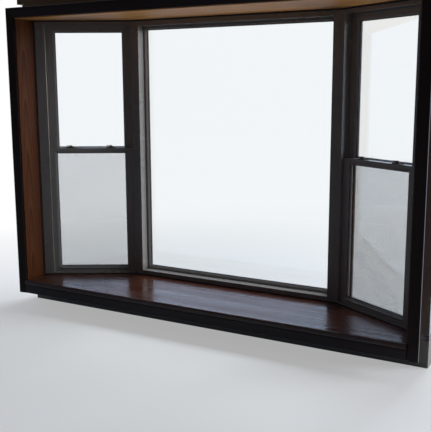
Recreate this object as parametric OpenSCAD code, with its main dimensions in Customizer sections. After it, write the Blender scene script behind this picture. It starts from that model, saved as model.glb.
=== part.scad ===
// Bay window with a fixed centre window and two double-hung flanking windows.
// X runs along the wall, +Y points outdoors, and Z is up.
// The origin is the middle of the seat's top, at the room face of the wall.

/* [Bay] */
// Width of the centre window between the two corners of the bay
centre_w = 1524; // [1250:1:1900]
// Width of each flanking side between its corner and the wall opening
flank_w = 660; // [560:1:900]
// Angle between a flanking window and the wall
bay_angle = 30; // [25:1:45]
// Clear height between the seat and the head board
opening_h = 1778; // [1450:1:2000]
// Thickness of the wall that the side jambs line
jamb_depth = 167; // [110:1:220]
// Height of the seat above the underside of the base
base_h = 187; // [150:1:260]

/* [Boards] */
// Thickness of the seat board
seat_t = 32; // [25:1:40]
// How far the seat stands out from the room face of the wall
seat_nose = 24; // [18:1:40]
// Radius of the rounded front edge of the seat
nose_r = 10; // [4:0.5:12]
// Thickness of the head board
head_t = 32; // [25:1:40]
// Thickness of the side jambs
side_jamb_t = 19; // [15:1:25]

/* [Casing] */
// Width of the casing and of the apron
casing_w = 64; // [50:1:90]
// Thickness of the casing at its thick edge
casing_t = 17; // [14:0.5:18]
// Thickness of the casing at its thin edge
casing_thin_t = 10; // [8:0.5:13]
// Width of the flat band beside the thick edge of the casing
casing_flat = 22; // [10:1:40]
// Chamfer on the edges of the casing
casing_edge = 2; // [1:0.5:3]
// Step between the face of a jamb and the casing
casing_reveal = 6; // [3:1:10]

/* [Posts] */
// Depth of the window frames
frame_d = 112; // [108:1:130]
// Width of a wall post on its room face
post_w = 62; // [40:1:90]
// How far a wall post reaches past the side of the wall opening
post_ear = 80; // [60:1:110]
// Width of a mullion on its room face
mullion_w = 22; // [16:1:40]
// Thickness of the outer flange of the posts and mullions
flange_t = 12; // [8:1:16]
// How far the outer flange laps over the frame beside it
flange_lap = 12; // [6:1:14]

/* [Flanking frames] */
// Width of the room-side stop on the frame sides
stop_side = 10; // [9:1:35]
// Width of the room-side stop under the head
stop_head = 30; // [26:1:40]
// Height of the room-side stop above the seat
stop_sill = 14; // [11:1:20]
// Depth of the room-side stop
stop_d = 22; // [14:1:24]
// How much of a sash is hidden behind the stops
sash_lap = 5; // [4:0.5:6]
// Depth of the parting rib between the two sash tracks
rib_d = 4; // [3:0.5:5]
// Depth of the outer stop between the upper sash and the screen
outer_stop_d = 7; // [5:0.5:8]
// Drop of the sloped sill from the outer stop to the outer face
sill_fall = 5; // [2:0.5:7]
// Width of the balance grooves in the two tracks
balance_w = 12; // [8:1:16]
// Depth of the balance grooves
balance_d = 2.5; // [1:0.5:3.5]
// Distance between the head board and the closed top of the balance grooves
balance_top = 100; // [60:1:200]

/* [Sashes] */
// Thickness of the sliding sashes
sash_t = 34; // [30:1:36]
// Width of the stiles of an upper sash
upper_stile = 61; // [45:1:75]
// Width of the stiles of a lower sash
lower_stile = 53; // [40:1:70]
// Height of the top rail of an upper sash
top_rail = 50; // [40:1:65]
// Height of the two meeting rails
meeting_rail = 36; // [30:1:50]
// Height of the bottom rail of a lower sash
bottom_rail = 47; // [40:1:80]
// Height of the flat check rail on top of the upper sash's meeting rail
check_rail_h = 16; // [15:1:26]
// Height of the middle of the meeting rails above the seat
meeting_z = 890; // [700:1:1000]
// Reach of the glazing bead round each pane
bead_w = 14; // [12:1:18]
// Width of the flat band on a bead before its slope
bead_flat = 4; // [2:0.5:6]
// Thickness of the bead's lip against the glass
bead_lip = 3; // [2:0.5:4]
// Slope across the outer lip of a bead
bead_slope = 1; // [0.5:0.1:2]
// Thickness of the sealed glass units
glass_t = 18; // [14:1:20]
// How far a glass unit is held in its sash
glass_bite = 10; // [7:0.5:11]
// Reach of the finger lift on a bottom rail
lift_reach = 9; // [6:1:12]
// Thickness of the finger lift
lift_t = 4; // [3:0.5:6]
// Height of the finger lift above the bottom of its sash
lift_z = 22; // [14:1:28]

/* [Centre window] */
// Width of the centre frame's face at the sides and the head
centre_face = 40; // [30:1:60]
// Height of the centre frame's face above the seat
centre_sill = 35; // [28:1:60]
// Depth of the return from the frame's face to the fixed sash
centre_return = 64; // [40:1:70]
// How far the fixed sash reaches behind the frame's face
centre_lap = 12; // [8:1:14]
// Width of the fixed sash that shows inside the frame
centre_sash_w = 23; // [18:1:45]
// Thickness of the fixed sash
centre_sash_t = 35; // [33:1:40]
// Depth of the glass behind the room face of the fixed sash
centre_glass_d = 12; // [8:1:14]

/* [Locks] */
// Distance between the two locks on a meeting rail
lock_spacing = 282; // [180:1:330]
// Length of a lock's base
lock_l = 70; // [55:1:80]
// Width of a lock's base
lock_w = 20; // [16:1:24]
// Thickness of a lock's base
lock_base_t = 4; // [3:0.5:5]
// Radius of a lock's cam housing
cam_r = 9; // [7:0.5:10]
// Height of a lock above the meeting rail
lock_h = 18; // [14:1:22]
// Corner cut of a lock's base
lock_corner = 3; // [1:0.5:5]
// Reach of a lock's lever from the middle of the cam
lever_l = 34; // [24:1:36]
// Thickness of the lever
lever_t = 5; // [4:0.5:7]
// Radius of the lever's tip
lever_tip_r = 4; // [3:0.5:6]
// Sideways rake of the lever's tip
lever_rake = 3; // [0:0.5:5]
// Height of a keeper
keeper_h = 9; // [7:0.5:12]
// Length of a keeper
keeper_l = 46; // [34:1:52]

/* [Screens] */
// Width of the bars of a screen frame
screen_bar = 20; // [14:1:26]
// Thickness of the bars of a screen frame
screen_t = 8; // [6:0.5:8.5]
// Depth of the groove that holds the cloth in a screen bar
screen_groove = 3; // [2:0.5:5]
// Thickness of the screen cloth
cloth_t = 0.8; // [0.5:0.1:1.2]
// Height of a screen frame above the meeting rails' middle
screen_over = 24; // [19:1:40]

/* [Base and head trim] */
// Thickness of the skirt and frieze boards
trim_t = 18; // [15:1:25]
// Gap between the bottom of the skirt and the underside of the base
skirt_lift = 6; // [3:1:20]
// Reach of the sill nose past the face of the skirt
sill_nose = 22; // [12:1:40]
// Thickness of the sill nose at its outer edge
sill_edge = 16; // [12:1:20]
// Height of the frieze boards above the underside of the head board
frieze_h = 100; // [70:1:160]

/* [Roof] */
// Slope of the roof
roof_pitch = 28; // [20:1:38]
// Reach of the soffit past the face of the frieze
eave_reach = 70; // [40:1:110]
// Reach of the roof past the side of a wall post
eave_side = 60; // [40:1:90]
// Thickness of the soffit
soffit_t = 12; // [9:1:15]
// Height of the fascia
fascia_h = 62; // [50:1:90]
// How far the fascia hangs below the soffit
fascia_drop = 8; // [0:1:14]
// Thickness of the roof covering, measured upright
covering_t = 14; // [10:1:22]
// Reach of the roof covering past the fascia
covering_reach = 12; // [6:1:20]
// Half width of a hip cap
hip_half_w = 62; // [45:1:80]
// Thickness of a hip cap
hip_t = 8; // [5:1:12]

/* [Fits] */
// Clearance between parts that slide or drop into each other
fit = 0.3; // [0.2:0.05:0.5]

/* [Hidden] */
$fn = 48;

// Plan of the bay
wall_x = centre_w / 2 + flank_w * cos(bay_angle);
corner_y = jamb_depth + flank_w * sin(bay_angle);
post_x = wall_x + post_ear;
jamb_x = wall_x + side_jamb_t;
unit_w = flank_w - post_w;
centre_unit_w = centre_w - 2 * mullion_w;
cut = 1;

// Depths of the tracks in a flanking frame, from its room face
track_d = sash_t + 2 * fit;
lower_track = stop_d;
rib_start = lower_track + track_d;
upper_track = rib_start + rib_d;
outer_stop = upper_track + track_d;
screen_pocket = outer_stop + outer_stop_d;

// Outer sizes of the sashes
sash_side = stop_side - sash_lap;
sash_w = unit_w - 2 * sash_side;
sill_track = stop_sill - sash_lap;
lower_sash_z = sill_track + fit;
lower_sash_h = meeting_z + meeting_rail / 2 - lower_sash_z;
upper_sash_z = meeting_z - meeting_rail / 2;
upper_sash_h = opening_h - stop_head + sash_lap - upper_sash_z;
fixed_inset = centre_face - centre_lap;
fixed_sill = centre_sill - centre_lap;
fixed_sash_w = centre_unit_w - 2 * fixed_inset - 2 * fit;
fixed_sash_h = opening_h - fixed_inset - fixed_sill - 2 * fit;
fixed_stile = centre_lap + centre_sash_w - fit;
sash_glass_d = (sash_t - glass_t) / 2;
screen_h = meeting_z + screen_over - sill_track;
cloth_d = (screen_t - cloth_t) / 2;

// Heights and reaches of the outside
skirt_face = frame_d + trim_t;
soffit_z = opening_h + frieze_h;
eave_d = skirt_face + eave_reach;
fascia_d = eave_d + trim_t;
eave_x = post_x + eave_side;
eave_z = soffit_z - fascia_drop + fascia_h;
covering_d = fascia_d + covering_reach;
far_run = 4 * eave_x;

// A point of the left side, along it from the wall opening and outwards from its room face
function left_point(along, out) = [
    -wall_x + along * cos(bay_angle) - out * sin(bay_angle),
    jamb_depth + along * sin(bay_angle) + out * cos(bay_angle)
];

// The left corner of the bay, moved outwards
function bay_corner(out) = [-(centre_w / 2 + out * tan(bay_angle / 2)), corner_y + out];

// The point where the left side, moved outwards, meets an upright plane at x_end
function bay_end(x_end, out) = [
    -x_end,
    jamb_depth + out / cos(bay_angle) - (x_end - wall_x) * tan(bay_angle)
];

function mirror_x(p) = [-p.x, p.y];

// Outline of the bay outside the wall
function bay_outline(x_end, out) = let (
    half = [[-x_end, jamb_depth], bay_end(x_end, out), bay_corner(out)]
) concat(half, [for (i = [2:-1:0]) mirror_x(half[i])]);

// Plan of the left side between two offsets
function left_band(x_end, inner, outer) = [
    bay_end(x_end, inner), bay_end(x_end, outer), bay_corner(outer), bay_corner(inner)
];

// Plan of the centre between two offsets
function centre_band(inner, outer) = [
    bay_corner(inner), bay_corner(outer), mirror_x(bay_corner(outer)), mirror_x(bay_corner(inner))
];

// Plan of the left roof slope, from its eave to the wall
function left_slope_plan(out) = [
    [-(eave_x + covering_reach), jamb_depth], bay_end(eave_x + covering_reach, out),
    bay_corner(out), bay_corner(jamb_depth - corner_y)
];

// Height of the roof's deck above an offset from the room face
function deck_z(out) = eave_z + (fascia_d - out) * tan(roof_pitch);

// Places a piece in the left side's own frame, on the seat
module on_left() {
    translate([-wall_x, jamb_depth, 0]) rotate(bay_angle) children();
}

// Places a piece in the left window's own frame, past the wall post
module in_left_unit() {
    on_left() translate([post_w, 0, 0]) children();
}

// Places a piece in the centre window's own frame
module in_centre_unit() {
    translate([-centre_unit_w / 2, corner_y, 0]) children();
}

// Places a run that is longer than the bay along the left side
module left_plane() {
    on_left() translate([-far_run / 2, 0, 0]) children();
}

// Places such a run along the centre
module centre_plane() {
    translate([-far_run / 2, corner_y, 0]) children();
}

module right_side() {
    mirror([1, 0, 0]) children();
}

// A bar along X whose profile is given as depth and height, cut back at each end
module profile_bar(len, profile, reach, start_cut, end_cut) {
    depths = [for (p = profile) p.x];
    intersection() {
        rotate([90, 0, 90]) linear_extrude(len) polygon(profile);
        translate([0, max(depths) + cut, 0])
            rotate([90, 0, 0])
                linear_extrude(max(depths) - min(depths) + 2 * cut)
                    polygon([[0, 0], [len, 0], [len - end_cut, reach], [start_cut, reach]]);
    }
}

// The opening of a frame between two depths
module frame_opening(w, h, from_d, to_d, side, head, sill) {
    translate([side, from_d, sill]) cube([w - 2 * side, to_d - from_d, h - head - sill]);
}

// The opening of a sash where it widens evenly from one depth to a face of the sash
module flared_opening(w, h, side, top, bottom, deep, face, flare) {
    past = face > deep ? face + cut : face - cut;
    intersection() {
        linear_extrude(h) polygon([
            [side, deep], [side - flare, face], [side - flare, past],
            [w - side + flare, past], [w - side + flare, face], [w - side, deep]
        ]);
        rotate([90, 0, 90]) linear_extrude(w) polygon([
            [deep, bottom], [face, bottom - flare], [past, bottom - flare],
            [past, h - top + flare], [face, h - top + flare], [deep, h - top]
        ]);
    }
}

// A glazed sash with its lower left corner at the origin. Its opening holds a pocket for the glass,
// a bead that slopes down to the glass on the room side, and a slightly sloped outer lip
module sash(w, h, stile, top, bottom, thick, glass_d) {
    pocket_end = glass_d + glass_t + fit;
    difference() {
        cube([w, thick, h]);
        frame_opening(w, h, -cut, thick + cut, stile, top, bottom);
        frame_opening(w, h, glass_d - fit, pocket_end, stile - glass_bite, top - glass_bite, bottom - glass_bite);
        flared_opening(w, h, stile, top, bottom, glass_d - bead_lip, 0, bead_w - bead_flat);
        flared_opening(w, h, stile, top, bottom, pocket_end, thick, bead_slope);
    }
}

// The glass unit that fits such a sash
module sash_glass(w, h, stile, top, bottom, glass_d) {
    hidden = glass_bite - fit;
    translate([stile - hidden, glass_d, bottom - hidden])
        cube([w - 2 * (stile - hidden), glass_t, h - top - bottom + 2 * hidden]);
}

// Bay-shaped board that passes through the wall opening, with its left front points
module bay_board(t, front = []) {
    half = concat(front, [
        [-jamb_x, 0], [-jamb_x, jamb_depth], [-post_x, jamb_depth],
        bay_end(post_x, frame_d), bay_corner(frame_d)
    ]);
    linear_extrude(t) polygon(concat(half, [for (i = [len(half) - 1:-1:0]) mirror_x(half[i])]));
}

// Seat with a rounded nose between the two casings
module seat_board() {
    nose_x = wall_x + casing_reveal - fit;
    round_y = -seat_nose + nose_r;
    color("#8a4a2c") translate([0, 0, -seat_t]) {
        bay_board(seat_t, [[-nose_x, round_y], [-nose_x, 0]]);
        translate([-nose_x, -seat_nose, nose_r]) cube([2 * nose_x, nose_r + cut, seat_t - 2 * nose_r]);
        for (z = [nose_r, seat_t - nose_r])
            translate([-nose_x, round_y, z]) rotate([0, 90, 0]) cylinder(h = 2 * nose_x, r = nose_r);
    }
}

module head_board() {
    color("#c9a47a") translate([0, 0, opening_h]) bay_board(head_t);
}

module left_side_jamb() {
    color("#a5673f")
        translate([-jamb_x, 0, 0]) cube([side_jamb_t, jamb_depth, opening_h]);
}

module right_side_jamb() {
    right_side() left_side_jamb();
}

// Section of the casing, from its thick edge to its thin edge
function casing_section() = [
    [0, 0],
    [casing_edge - casing_t, 0],
    [-casing_t, casing_edge],
    [-casing_t, casing_flat],
    [-casing_thin_t, casing_w - casing_edge],
    [casing_edge - casing_thin_t, casing_w],
    [0, casing_w],
];

module left_casing() {
    bottom_z = -seat_t - casing_w;
    leg = opening_h + casing_reveal + casing_w - bottom_z;
    color("#5d3222")
        translate([-(wall_x + casing_reveal + casing_w), 0, bottom_z])
            mirror([1, 0, -1]) profile_bar(leg, casing_section(), casing_w, 0, casing_w);
}

module right_casing() {
    right_side() left_casing();
}

module head_casing() {
    half = wall_x + casing_reveal + casing_w;
    color("#5d3222")
        translate([-half, 0, opening_h + casing_reveal + casing_w])
            mirror([0, 0, 1]) profile_bar(2 * half, casing_section(), casing_w, casing_w, casing_w);
}

// Apron under the seat, between the two casings
module seat_apron() {
    half = wall_x + casing_reveal;
    color("#5d3222")
        translate([-half, 0, -seat_t])
            mirror([0, 0, 1]) profile_bar(2 * half, casing_section(), casing_w, 0, 0);
}

// Post that closes the left side against the wall, with a flange over the frame
module left_wall_post() {
    outline = [
        left_point(0, 0), left_point(post_w, 0),
        left_point(post_w, frame_d), left_point(post_w + flange_lap, frame_d),
        left_point(post_w + flange_lap, frame_d + flange_t),
        bay_end(post_x, frame_d + flange_t), [-post_x, jamb_depth]
    ];
    color("#d8d4d0") linear_extrude(opening_h) polygon(outline);
}

module right_wall_post() {
    right_side() left_wall_post();
}

// Post that fills the corner between two windows, with a flange over both frames
module left_mullion() {
    inner = [bay_corner(0).x + mullion_w, corner_y];
    outline = [
        bay_corner(0), inner, inner + [0, frame_d], inner + [flange_lap, frame_d],
        inner + [flange_lap, frame_d + flange_t], bay_corner(frame_d + flange_t),
        left_point(flank_w - flange_lap, frame_d + flange_t),
        left_point(flank_w - flange_lap, frame_d), left_point(flank_w, frame_d)
    ];
    color("#d8d4d0") linear_extrude(opening_h) polygon(outline);
}

module right_mullion() {
    right_side() left_mullion();
}

// Deep frame of the fixed window, with a pocket for its sash
module centre_frame() {
    pocket_end = centre_return + centre_sash_t + 2 * fit;
    color("#e4e0dc") in_centre_unit() difference() {
        cube([centre_unit_w, frame_d, opening_h]);
        frame_opening(centre_unit_w, opening_h, -cut, frame_d + cut, centre_face, centre_face, centre_sill);
        frame_opening(centre_unit_w, opening_h, centre_return, pocket_end,
            fixed_inset, fixed_inset, fixed_sill);
    }
}

module place_fixed_sash() {
    in_centre_unit() translate([fixed_inset + fit, centre_return + fit, fixed_sill + fit]) children();
}

module centre_sash() {
    color("#ece9e6") place_fixed_sash() sash(
        fixed_sash_w, fixed_sash_h, fixed_stile, fixed_stile, fixed_stile, centre_sash_t, centre_glass_d
    );
}

module centre_glass() {
    color("#cfe3ea", 0.35) place_fixed_sash()
        sash_glass(fixed_sash_w, fixed_sash_h, fixed_stile, fixed_stile, fixed_stile, centre_glass_d);
}

// Double-hung frame: room-side stop, lower track, rib, upper track, outer stop and sloped sill,
// with a groove for a balance in each side of each track
module left_frame() {
    track_side = sash_side - fit;
    track_head = stop_head - sash_lap - fit;
    color("#e4e0dc") in_left_unit() difference() {
        cube([unit_w, frame_d, opening_h]);
        frame_opening(unit_w, opening_h, -cut, lower_track + cut, stop_side, stop_head, stop_sill);
        frame_opening(unit_w, opening_h, lower_track, frame_d + cut, stop_side, stop_head, sill_track);
        for (track = [lower_track, upper_track]) {
            groove = track + (track_d - balance_w) / 2;
            frame_opening(unit_w, opening_h, track, track + track_d, track_side, track_head, sill_track);
            frame_opening(unit_w, opening_h, groove, groove + balance_w,
                track_side - balance_d, balance_top, sill_track);
        }
        frame_opening(unit_w, opening_h, screen_pocket, frame_d + cut, track_side, stop_head, sill_track);
        translate([track_side, 0, 0]) rotate([90, 0, 90]) linear_extrude(sash_w + 2 * fit) polygon([
            [screen_pocket, sill_track + cut], [screen_pocket, sill_track],
            [frame_d + cut, sill_track - sill_fall], [frame_d + cut, sill_track + cut]
        ]);
    }
}

module right_frame() {
    right_side() left_frame();
}

module place_upper_sash() {
    in_left_unit() translate([sash_side, upper_track + fit, upper_sash_z]) children();
}

// Upper sash, with a flat check rail that closes the gap to the lower sash
module left_upper_sash() {
    check_side = sash_lap + fit;
    color("#ece9e6") place_upper_sash() {
        sash(sash_w, upper_sash_h, upper_stile, top_rail, meeting_rail, sash_t, sash_glass_d);
        translate([check_side, -rib_d, meeting_rail - check_rail_h])
            cube([sash_w - 2 * check_side, rib_d + sash_glass_d - fit, check_rail_h]);
    }
}

module right_upper_sash() {
    right_side() left_upper_sash();
}

module left_upper_glass() {
    color("#cfe3ea", 0.35) place_upper_sash()
        sash_glass(sash_w, upper_sash_h, upper_stile, top_rail, meeting_rail, sash_glass_d);
}

module right_upper_glass() {
    right_side() left_upper_glass();
}

module place_lower_sash() {
    in_left_unit() translate([sash_side, lower_track + fit, lower_sash_z]) children();
}

// Lower sash, with a finger lift along its bottom rail
module left_lower_sash() {
    lift_top = lift_reach + lift_t;
    color("#ece9e6") place_lower_sash() {
        sash(sash_w, lower_sash_h, lower_stile, meeting_rail, bottom_rail, sash_t, sash_glass_d);
        translate([lower_stile, 0, lift_z])
            rotate([90, 0, 90])
                linear_extrude(sash_w - 2 * lower_stile)
                    polygon([[cut, 0], [-lift_reach, lift_reach], [-lift_reach, lift_top], [cut, lift_top]]);
    }
}

module right_lower_sash() {
    right_side() left_lower_sash();
}

module left_lower_glass() {
    color("#cfe3ea", 0.35) place_lower_sash()
        sash_glass(sash_w, lower_sash_h, lower_stile, meeting_rail, bottom_rail, sash_glass_d);
}

module right_lower_glass() {
    right_side() left_lower_glass();
}

// Cam lock on the lower meeting rail, centred on its base
module cam_lock() {
    half = [lock_l / 2, lock_w / 2];
    inset = half - [lock_corner, lock_corner];
    hub_r = cam_r - cut;
    lever_z = lock_h - lever_t;
    tip = [-lever_l + lever_tip_r, -lever_rake];
    linear_extrude(lock_base_t) polygon([
        [-half.x, -inset.y], [-inset.x, -half.y], [inset.x, -half.y], [half.x, -inset.y],
        [half.x, inset.y], [inset.x, half.y], [-inset.x, half.y], [-half.x, inset.y]
    ]);
    cylinder(h = lever_z, r = cam_r);
    translate([0, 0, lever_z]) linear_extrude(lever_t) polygon([
        [0, hub_r], tip + [0, lever_tip_r], tip - [0, lever_tip_r], [0, -hub_r]
    ]);
    translate([0, 0, lever_z - cut]) cylinder(h = lever_t + cut, r = hub_r);
    translate([tip.x, tip.y, lever_z]) cylinder(h = lever_t, r = lever_tip_r);
}

// Keeper on the check rail, with a slot for the cam
module keeper() {
    width = rib_d + sash_glass_d - 3 * fit;
    slot = [keeper_l / 2, width / 2, keeper_h / 2];
    difference() {
        translate([-keeper_l / 2, 0, 0]) cube([keeper_l, width, keeper_h]);
        translate([-slot.x / 2, -cut, keeper_h / 4]) cube([slot.x, slot.y + cut, slot.z]);
    }
}

// Pair of locks in the left window's own frame, with their levers along -X or along +X
module sash_locks(turned) {
    rail_top = meeting_z + meeting_rail / 2;
    for (side = [-1, 1]) {
        lock_x = unit_w / 2 + side * lock_spacing / 2;
        color("#d9d5cf") in_left_unit() {
            translate([lock_x, lower_track + fit + sash_t / 2, rail_top])
                mirror([turned ? 1 : 0, 0, 0]) cam_lock();
            translate([lock_x, upper_track + 2 * fit - rib_d, rail_top]) keeper();
        }
    }
}

module left_sash_locks() {
    sash_locks(false);
}

// The levers of the right pair point the same way as those of the left pair
module right_sash_locks() {
    right_side() sash_locks(true);
}

module place_screen() {
    in_left_unit() translate([sash_side, screen_pocket, sill_track]) children();
}

// Half screen outside the lower sash, with a groove for its cloth
module left_screen_frame() {
    groove = screen_bar - screen_groove;
    color("#cfcbc6") place_screen() difference() {
        cube([sash_w, screen_t, screen_h]);
        frame_opening(sash_w, screen_h, -cut, screen_t + cut, screen_bar, screen_bar, screen_bar);
        frame_opening(sash_w, screen_h, cloth_d - fit, cloth_d + cloth_t + fit, groove, groove, groove);
    }
}

module right_screen_frame() {
    right_side() left_screen_frame();
}

module left_screen_cloth() {
    edge = screen_bar - screen_groove + fit;
    color("#55585c", 0.5) place_screen()
        frame_opening(sash_w, screen_h, cloth_d, cloth_d + cloth_t, edge, edge, edge);
}

module right_screen_cloth() {
    right_side() left_screen_cloth();
}

// Insulated base under the seat, outside the wall
module base_platform() {
    color("#b9b2a6") translate([0, 0, -base_h])
        linear_extrude(base_h - seat_t) polygon(bay_outline(post_x, frame_d));
}

// Section of a skirt board with its sill nose: depth from the frame's outer face, and height
function skirt_section() = let (
    bottom = skirt_lift - base_h,
    reach = trim_t + sill_nose
) [
    [0, bottom], [trim_t, bottom], [trim_t, -sill_edge - sill_fall],
    [reach, -sill_edge - sill_fall], [reach, -sill_fall], [flange_t, 0], [0, 0]
];

module skirt_run() {
    translate([0, frame_d, 0]) rotate([90, 0, 90]) linear_extrude(far_run) polygon(skirt_section());
}

module skirt_mitre(plan) {
    translate([0, 0, -base_h]) linear_extrude(base_h + cut) polygon(plan);
}

module left_skirt() {
    color("#dedbd6") intersection() {
        left_plane() skirt_run();
        skirt_mitre(left_band(post_x, frame_d, skirt_face + sill_nose));
    }
}

module centre_skirt() {
    color("#dedbd6") intersection() {
        centre_plane() skirt_run();
        skirt_mitre(centre_band(frame_d, skirt_face + sill_nose));
    }
}

module right_skirt() {
    right_side() left_skirt();
}

// A strip round the three sides of the bay
module bay_strip(x_end, inner, outer, high) {
    outside = [bay_end(x_end, outer), bay_corner(outer)];
    inside = [bay_end(x_end, inner), bay_corner(inner)];
    linear_extrude(high) polygon([
        outside[0], outside[1], mirror_x(outside[1]), mirror_x(outside[0]),
        mirror_x(inside[0]), mirror_x(inside[1]), inside[1], inside[0]
    ]);
}

module frieze() {
    color("#dedbd6") translate([0, 0, opening_h]) bay_strip(post_x, frame_d, skirt_face, frieze_h);
}

module soffit() {
    color("#e6e3df") translate([0, 0, soffit_z]) bay_strip(eave_x, frame_d, eave_d, soffit_t);
}

module fascia() {
    color("#dedbd6") translate([0, 0, soffit_z - fascia_drop]) bay_strip(eave_x, eave_d, fascia_d, fascia_h);
}

// Everything under one roof plane, down to a floor height
module under_slope(floor_z) {
    rotate([90, 0, 90]) linear_extrude(far_run) polygon([
        [fascia_d, floor_z], [fascia_d, deck_z(fascia_d)], [-far_run, deck_z(-far_run)], [-far_run, floor_z]
    ]);
}

// Roof framing and deck, from the head board to the underside of the covering
module roof_deck() {
    floor_z = opening_h + head_t;
    flat_z = soffit_z + soffit_t;
    color("#a98f6c") {
        translate([0, 0, floor_z])
            linear_extrude(flat_z - floor_z + cut) polygon(bay_outline(post_x, frame_d));
        intersection() {
            translate([0, 0, flat_z])
                linear_extrude(far_run) polygon(bay_outline(eave_x, eave_d));
            left_plane() under_slope(floor_z);
            centre_plane() under_slope(floor_z);
            right_side() left_plane() under_slope(floor_z);
        }
    }
}

// A layer of one roof plane between two upright lifts above the deck
module slope_layer(lift_from, lift_to) {
    rotate([90, 0, 90]) linear_extrude(far_run) polygon([
        [covering_d, deck_z(covering_d) + lift_from], [covering_d, deck_z(covering_d) + lift_to],
        [-far_run, deck_z(-far_run) + lift_to], [-far_run, deck_z(-far_run) + lift_from]
    ]);
}

module left_roof_slope() {
    color("#57524d") intersection() {
        left_plane() slope_layer(0, covering_t);
        linear_extrude(far_run) polygon(left_slope_plan(covering_d));
    }
}

module centre_roof_slope() {
    color("#57524d") intersection() {
        centre_plane() slope_layer(0, covering_t);
        linear_extrude(far_run) polygon(centre_band(jamb_depth - corner_y, covering_d));
    }
}

module right_roof_slope() {
    right_side() left_roof_slope();
}

// Plan of the strip beside the left hip, on its left or its centre side
function hip_strip(side) = let (
    low = bay_corner(covering_d),
    high = bay_corner(jamb_depth - corner_y),
    along = (low - high) / norm(low - high),
    across = side * hip_half_w * [along.y, -along.x],
    top_in = high + along * (hip_half_w * tan(bay_angle / 2) + cut)
) [low, high, side > 0 ? [top_in.x + across.x, jamb_depth] : top_in + across, low + across];

module left_hip_cap() {
    intersection() {
        left_plane() slope_layer(covering_t, covering_t + hip_t);
        linear_extrude(far_run) polygon(hip_strip(-1));
    }
    intersection() {
        centre_plane() slope_layer(covering_t, covering_t + hip_t);
        linear_extrude(far_run) polygon(hip_strip(1));
    }
}

module hip_caps() {
    color("#4a4642") {
        left_hip_cap();
        right_side() left_hip_cap();
    }
}

seat_board();
head_board();
left_side_jamb();
right_side_jamb();
left_casing();
right_casing();
head_casing();
seat_apron();
left_wall_post();
right_wall_post();
left_mullion();
right_mullion();
centre_frame();
centre_sash();
centre_glass();
left_frame();
left_upper_sash();
left_upper_glass();
left_lower_sash();
left_lower_glass();
left_sash_locks();
left_screen_frame();
left_screen_cloth();
right_frame();
right_upper_sash();
right_upper_glass();
right_lower_sash();
right_lower_glass();
right_sash_locks();
right_screen_frame();
right_screen_cloth();
base_platform();
left_skirt();
centre_skirt();
right_skirt();
frieze();
soffit();
fascia();
roof_deck();
left_roof_slope();
centre_roof_slope();
right_roof_slope();
hip_caps();
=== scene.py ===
import random
from math import ceil, cos, hypot, pi, radians, sin, tan, tau

import bmesh
import bpy
from mathutils import Matrix, Vector


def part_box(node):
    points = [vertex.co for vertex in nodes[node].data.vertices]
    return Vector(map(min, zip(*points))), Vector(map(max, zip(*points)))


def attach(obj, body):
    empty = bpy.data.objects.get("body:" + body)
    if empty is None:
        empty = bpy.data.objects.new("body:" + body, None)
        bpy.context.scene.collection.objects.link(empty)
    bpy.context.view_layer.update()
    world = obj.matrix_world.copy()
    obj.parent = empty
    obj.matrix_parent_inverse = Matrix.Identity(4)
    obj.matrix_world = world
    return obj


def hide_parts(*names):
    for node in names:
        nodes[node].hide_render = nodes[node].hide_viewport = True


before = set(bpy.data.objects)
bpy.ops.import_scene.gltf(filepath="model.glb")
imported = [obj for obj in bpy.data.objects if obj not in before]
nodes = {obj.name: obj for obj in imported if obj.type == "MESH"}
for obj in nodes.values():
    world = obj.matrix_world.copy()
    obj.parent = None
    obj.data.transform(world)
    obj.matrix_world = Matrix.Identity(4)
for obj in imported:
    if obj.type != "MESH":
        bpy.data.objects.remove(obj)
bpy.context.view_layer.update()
print("frame loaded with", len(nodes), "nodes")

# The bay's own places: X along the wall, +Y outdoors, the seat's top at zero
bay = {"angle": 30, "seed": 41, "fit": 0.0003, "mullion": 0.022}  # mullion: centre frame to the plan's corner
random.seed(bay["seed"])
bayTurn = radians(bay["angle"])
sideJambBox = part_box("left_side_jamb")
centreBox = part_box("centre_frame")
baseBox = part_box("base_platform")
wallX = -sideJambBox[1].x
jambDepth = sideJambBox[1].y
headZ = sideJambBox[1].z
cornerY = centreBox[0].y
frameDepth = centreBox[1].y - cornerY
flip = Matrix.Diagonal((-1, 1, 1, 1))
leftPlace = Matrix.Translation((-wallX, jambDepth, 0)) @ Matrix.Rotation(bayTurn, 4, "Z")
centrePlace = Matrix.Translation((0, cornerY, 0))
sides = {"left": leftPlace, "right": flip @ leftPlace}
flankLength = Vector((wallX - centreBox[1].x - bay["mullion"], cornerY - jambDepth)).length
cornerHalf = wallX - flankLength * cos(bayTurn)


# A node's lowest and highest corners in the frame of its side
def boxIn(place, node):
    inverse = place.inverted()
    points = [inverse @ v.co for v in nodes[node].data.vertices]
    low = Vector([min(p[i] for p in points) for i in range(3)])
    high = Vector([max(p[i] for p in points) for i in range(3)])
    return low, high


# Plan points of a line that runs round the bay at an offset, from its left end to its right end
def aroundBay(endX, out):
    endY = jambDepth + out / cos(bayTurn) - (endX - wallX) * tan(bayTurn)
    corner = Vector((-(cornerHalf + out * tan(bayTurn / 2)), cornerY + out))
    return [Vector((-endX, endY)), corner, Vector((-corner.x, corner.y)), Vector((endX, endY))]


# Small tools for meshes
def addBox(bm, place, low, high):
    low, high = Vector(low), Vector(high)
    middle = Matrix.Translation((low + high) / 2) @ Matrix.Diagonal((*(high - low), 1))
    return bmesh.ops.create_cube(bm, size=1, matrix=place @ middle)["verts"]


def edgesOf(verts):
    return list(dict.fromkeys(edge for vert in verts for edge in vert.link_edges))


def creases(edges, angle=0.6):
    return [edge for edge in edges if len(edge.link_faces) == 2 and edge.calc_face_angle(0) > angle]


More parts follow.
